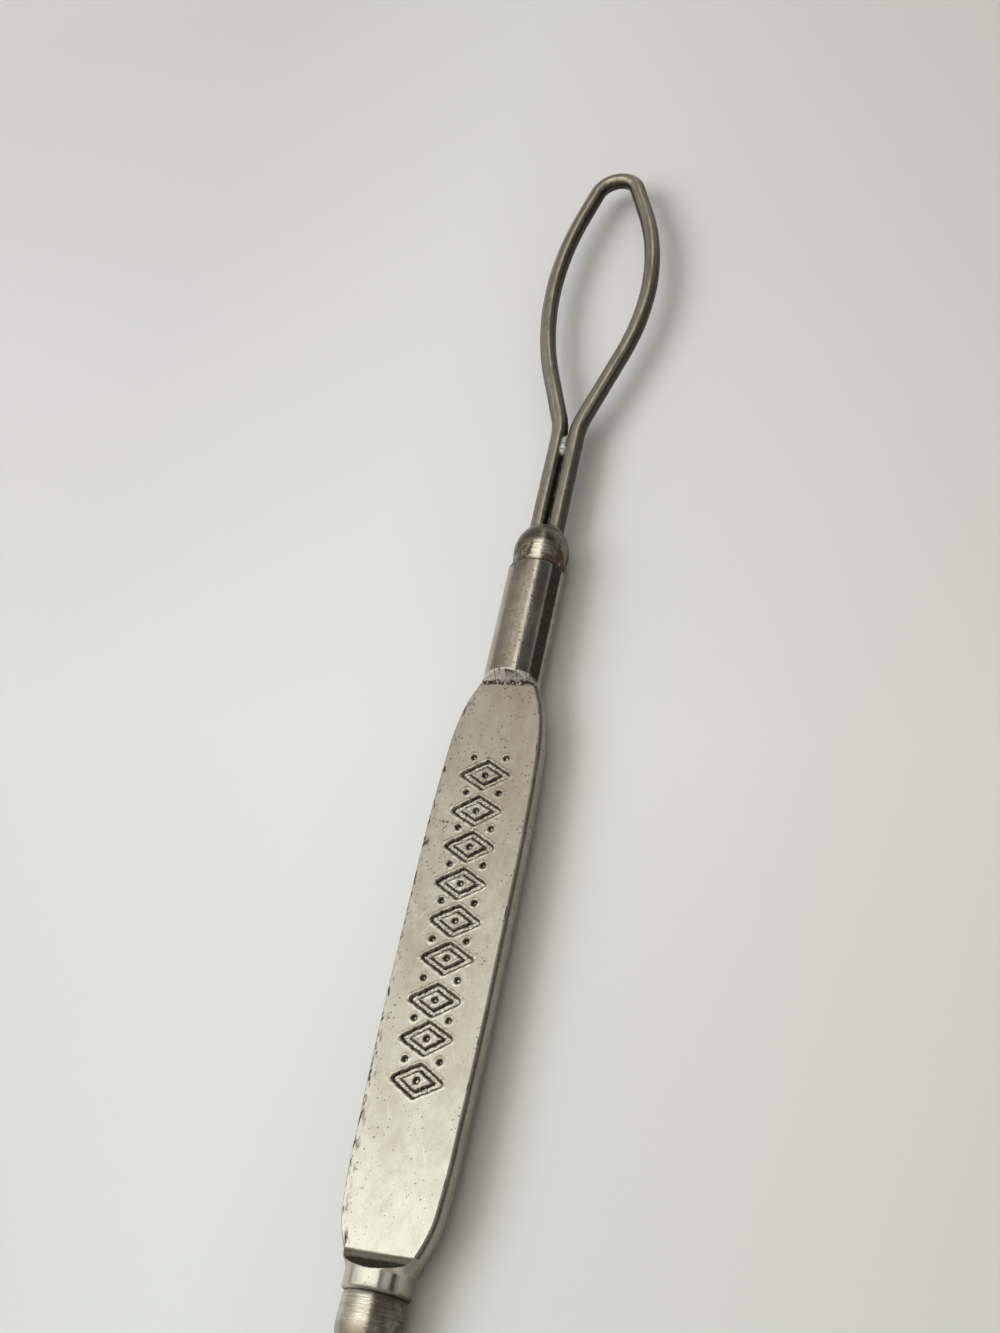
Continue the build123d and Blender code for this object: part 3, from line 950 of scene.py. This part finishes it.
def wire_loop_piece():
    """The loop: a tube along two straight legs, the neck bends, the two wide bows and the tight tip."""
    corners = [
        (LOOP_SEAT + SPIGOT_LENGTH, WIRE_OFFSET),
        (NECK, WIRE_OFFSET),
        (NECK + 0.51 * LOOP_LENGTH, 0.582 * LOOP_WIDTH),
        (NECK + 1.1135 * LOOP_LENGTH, 0.07 * LOOP_WIDTH),
        (NECK + 0.543 * LOOP_LENGTH, -0.587 * LOOP_WIDTH),
        (NECK, -WIRE_OFFSET),
        (LOOP_SEAT + SPIGOT_LENGTH, -WIRE_OFFSET),
    ]
    neck_bend = 6.5
    radii = [neck_bend, 1.07 * LOOP_LENGTH, 0.194 * LOOP_WIDTH, 0.84 * LOOP_LENGTH, neck_bend]
    points, directions = rounded_path(corners, radii, 0.16)
    grid, straight, lengths = tube_along(points, directions, loop_wire_radius, 56)
    x = grid[..., 0]
    y = grid[..., 1]
    z = grid[..., 2] - AXIS_HEIGHT
    # Painted shade: dark along the valley between the two wires and in the V at their neck
    between = 0.95 * bell(y, 0.16) * (x < NECK - 0.3)
    at_bead = 0.5 * bell(x - LOOP_CROWN_FACE, 0.25)
    at_neck = 0.8 * bell(x - NECK, 1.2) * bell(y, 0.35)
    patches = ripple_field([lengths[:, None] + 0 * x, 2 * z, 2 * y], [3.0, 2.0, 2.0], 53)
    grime_and_shade = between + at_bead + at_neck + 0.5 * np.clip(patches - 0.25, 0, 1)
    level = level_share(grid, signed=True)
    # A point on the wire's top, a quarter of the way round its ring, tells which sign faces up
    top_sign = np.sign(level[5, 14])
    # Painted shade wherever the wire's skin does not face up
    patina_and_shade = 1 - smooth_step(level * top_sign, 0.55, 0.9)
    attributes = {"grime_and_shade": grime_and_shade, "straight": straight, "patina_and_shade": patina_and_shade}
    return grid_piece("bent_wire_loop", grid, "loop_wire", WIRE_STEEL, attributes)


def neck_solder_piece():
    """The solder in the valley: a long drop with pointed ends, whose skin is uneven.

    Its half width and half height follow the square root of 1 minus the fourth power of the place along it.
    """
    turn = ring_angles(40)
    along = np.linspace(-1, 1, 60)[:, None] + 0 * turn
    x = DROP_MIDDLE + DROP_HALF_LENGTH * along
    cosine = np.cos(turn) + 0 * along
    sine = np.sin(turn) + 0 * along
    uneven = 1 + 0.07 * ripple_field([DROP_HALF_LENGTH * along, cosine, sine], [0.7, 1.2, 1.2], 61)
    swell = np.sqrt(np.clip(1 - along**4, 0, 1)) * uneven
    y = np.clip(DROP_HALF_WIDTH * swell * cosine, -0.55, 0.55)
    z = np.clip(DROP_HALF_HEIGHT * swell * sine, -0.7, 0.7)
    points = np.stack([x, y, z + AXIS_HEIGHT], -1)
    grime_and_shade = 0.6 * np.clip(ripple_field([x, 2 * y], [0.6, 0.4], 62) - 0.4, 0, 1)
    attributes = {"grime_and_shade": grime_and_shade, "bright": np.ones_like(x)}
    return grid_piece("neck_solder_drop", points, "neck_solder", SOLDER, attributes)


def hook_path():
    """The rod's path: a straight shaft, a slight crank, a short run, a half-round bend and the tip's leg."""
    bend = HOOK_GAP / 2 + HOOK_RADIUS
    bend_start = HOOK_END + HOOK_RADIUS + bend + bend * np.sin(CRANK_ANGLE)
    crank_start = bend_start + CRANK_RUN * np.cos(CRANK_ANGLE) + CRANK_RADIUS * np.sin(CRANK_ANGLE)
    shaft_start = HOOK_SEAT - SPIGOT_LENGTH
    shaft_count = int((shaft_start - crank_start) / 0.4)
    shaft = np.stack([np.linspace(shaft_start, crank_start, shaft_count), np.zeros(shaft_count)], -1)
    swing = np.linspace(0, CRANK_ANGLE, 30)[1:]
    crank = np.stack([crank_start - CRANK_RADIUS * np.sin(swing), -CRANK_RADIUS * (1 - np.cos(swing))], -1)
    heading = np.array([-np.cos(CRANK_ANGLE), -np.sin(CRANK_ANGLE)])
    run = crank[-1] + heading * np.linspace(0, CRANK_RUN, 14)[1:, None]
    centre = run[-1] + np.array([heading[1], -heading[0]]) * bend
    swing = np.linspace(0, np.pi + CRANK_ANGLE - TIP_FLARE, 90)[1:, None]
    arm = run[-1] - centre
    half_round = centre + np.cos(swing) * arm - np.sin(swing) * np.array([-arm[1], arm[0]])
    last = unit(half_round[-1] - half_round[-2])
    plain_leg = np.linspace(0, TIP_LEG - TIP_RADIUS, 24)[1:]
    rounded_end = TIP_LEG - TIP_RADIUS * (1 - np.sin(np.linspace(0, np.pi / 2, 12)[1:]))
    leg = half_round[-1] + last * np.concatenate([plain_leg, rounded_end])[:, None]
    return with_directions(np.vstack([shaft, crank, run, half_round, leg]))


def hook_radius(length, cosine, sine):
    """The rod's radius: even to the leg, then tapering, and at the tip a quarter circle of what is left."""
    left = length.max() - length
    taper = np.clip(left / TIP_LEG, 0, 1)
    plain = TIP_RADIUS + (HOOK_RADIUS - TIP_RADIUS) * taper
    short = np.clip(1 - left / TIP_RADIUS, 0, 1)
    rounded = np.sqrt(np.clip(1 - short**2, 0.0004, 1))
    uneven = 0.008 * ripple_field([length, cosine, sine], [2.5, 1.8, 1.8], 71)
    return (plain - 0.01 + uneven) * rounded


def hook_piece():
    """The hook: a tube along its path, worn bright near its end, and soiled where it leaves its bead."""
    grid, straight, lengths = tube_along(*hook_path(), hook_radius, 56)
    from_tip = lengths[-1] - lengths
    rubbed_and_highlight = smooth_step(18 - from_tip, 0, 10)[:, None] + 0 * grid[..., 0]
    grime_and_shade = 0.6 * bell(grid[..., 0] - HOOK_CROWN_FACE, 0.25)
    attributes = {"grime_and_shade": grime_and_shade, "straight": straight, "rubbed_and_highlight": rubbed_and_highlight}
    return grid_piece("bent_hook_rod", grid, "hook", HOOK_STEEL, attributes)


bar_piece()
bead_piece("loop_bead", "loop_ferrule", LOOP_SEAT, 1, swell_radius=2.185, seat_drop=0.26, oxide=0.75)
bead_piece("hook_bead", "hook_ferrule", HOOK_SEAT, -1, swell_radius=2.14, seat_drop=0.09, oxide=0.12)
wire_loop_piece()
crown_piece("loop_crown_solder", "loop_solder", LOOP_SEAT, 1, (WIRE_OFFSET, -WIRE_OFFSET), WIRE_RADIUS)
neck_solder_piece()
crown_piece("hook_crown_solder", "hook_solder", HOOK_SEAT, -1, (0.0,), HOOK_RADIUS)
hook_piece()


# Table, light and camera


def table():
    mesh = bpy.data.meshes.new("table")
    mesh.from_pydata([(-3, -3, 0), (3, -3, 0), (3, 3, 0), (-3, 3, 0)], [], [(0, 1, 2, 3)])
    mesh.materials.append(table_top_painted_light())
    floor = new_object("table", mesh)


def room_light():
    """A room that is lit from the left: past a line a little to the right of straight overhead it is dim.

    The lit side is brightest overhead, dims towards the horizon and the loop's end, and has a bright strip
    there beside the dim side. The dim side has a faint pane towards the hook's end, where it is also only
    half dim. The horizon is pale all round.
    """
    world = bpy.data.worlds.new("room")
    bpy.context.scene.world = world
    world.use_nodes = True
    room = Nodes(world.node_tree)
    toward = room.add("ShaderNodeSeparateXYZ", {0: room.add("ShaderNodeTexCoord").outputs["Generated"]})
    along_tool, across_tool, upward = toward.outputs
    lean = room.plus(across_tool, room.times(upward, 0.34))
    along_share = room.ramp(along_tool, -1.0, 1.0)

    lit_levels = room.gradient(along_share, (
        (0.0, (0.62, 0.59, 0.47)), (0.3, (0.47, 0.445, 0.35)), (0.5, (0.95, 0.93, 0.82)),
        (0.575, (1.24, 1.36, 1.31)), (0.6, (0.81, 0.865, 0.835)), (0.625, (0.69, 0.70, 0.66)),
        (0.655, (0.58, 0.575, 0.53)), (0.74, (0.37, 0.35, 0.3)), (0.82, (0.26, 0.245, 0.21)),
        (1.0, (0.13, 0.125, 0.11)),
    ))
    lit_levels = room.blend(1.0, lit_levels, room.ramp(upward, 0.45, 0.85, 0.55, 1.0), "MULTIPLY")
    lit_strip = room.times(room.ramp(lean, 0.0, 0.04, 0.0, 0.9), room.ramp(lean, 0.1, 0.2, 1.0, 0.0))
    lit_strip = room.times(lit_strip, room.ramp(along_tool, 0.28, 0.42))
    lit_levels = room.blend(lit_strip, lit_levels, (1.0, 0.97, 0.9), "ADD")

    low_dim = (0.012, 0.012, 0.012)
    high_dim = (0.032, 0.033, 0.035)
    dim = room.blend(room.ramp(lean, -0.72, -0.62), low_dim, high_dim)
    colour = room.blend(room.ramp(lean, -0.02, 0.05), dim, lit_levels)
    pane = room.times(room.ramp(lean, -0.7, -0.6), room.ramp(lean, -0.28, -0.12, 1.0, 0.0))
    pane = room.times(pane, room.ramp(along_tool, 0.2, 0.35, 1.0, 0.0))
    colour = room.blend(pane, colour, (0.38, 0.37, 0.35), "ADD")
    half_dim = room.ramp(along_tool, -0.3, -0.05, 1.0, 0.0)
    half_dim = room.times(half_dim, room.ramp(lean, -0.1, 0.02, 1.0, 0.0))
    colour = room.blend(half_dim, colour, (0.26, 0.25, 0.21))

    horizon = room.gradient(along_share, (
        (0.0, (0.5, 0.49, 0.455)), (0.5, (0.27, 0.265, 0.245)), (0.72, (0.2, 0.197, 0.182)),
        (1.0, (0.3, 0.295, 0.275)),
    ))
    above = room.minus(room.ramp(along_tool, 0.15, 0.45, 0.3, 0.34), upward)
    colour = room.blend(room.ramp(above, 0.0, 0.12), colour, horizon)
    backdrop = room.tree.nodes["Background"]
    room.set(backdrop, "Color", room.blend(1.0, colour, (1.02, 1.0, 0.96), "MULTIPLY"))
    room.set(backdrop, "Strength", 1.5)


def stand(thing, place, right, up, back):
    """Puts a lamp or the camera at a place, with its own three directions. It faces away from back."""
    pose = np.eye(4)
    pose[:3] = np.stack([right, up, back, place], -1)
    thing.matrix_world = Matrix(pose.tolist())


def soft_box(name, place, width, height, power, colour):
    """A rectangular lamp that faces the tool and isn't seen in its reflections."""
    lamp = bpy.data.lights.new(name, "AREA")
    lamp.shape = "RECTANGLE"
    lamp.size = width
    lamp.size_y = height
    lamp.energy = power
    lamp.color = colour
    holder = new_object(name, lamp)
    back = unit(np.array(place))
    level = unit(np.cross((0.0, 0.0, 1.0), back))
    stand(holder, place, level, np.cross(back, level), back)
    holder.visible_glossy = False


def photograph_camera():
    """The camera that was fitted to the photograph: its place, and the directions of the picture's sides."""
    place = np.array([-30.53, -42.68, 102.22]) * MM
    right = unit(np.array([0.1953, -0.9356, -0.2940]))
    down = np.array([-0.8533, -0.0143, -0.5212])
    down = unit(down - (down @ right) * right)
    lens = bpy.data.cameras.new("camera")
    lens.sensor_fit = "HORIZONTAL"
    lens.sensor_width = 36.0
    lens.lens = 59.04
    lens.clip_start = 0.002
    lens.clip_end = 20.0
    camera = new_object("camera", lens)
    stand(camera, place, right, -down, -np.cross(right, down))
    bpy.context.scene.camera = camera


table()
room_light()
soft_box("window", (-0.36, 1.20, 1.44), width=1.80, height=1.20, power=25.9, colour=(0.90, 0.93, 1.0))
photograph_camera()
bpy.context.scene.view_settings.view_transform = "Standard"
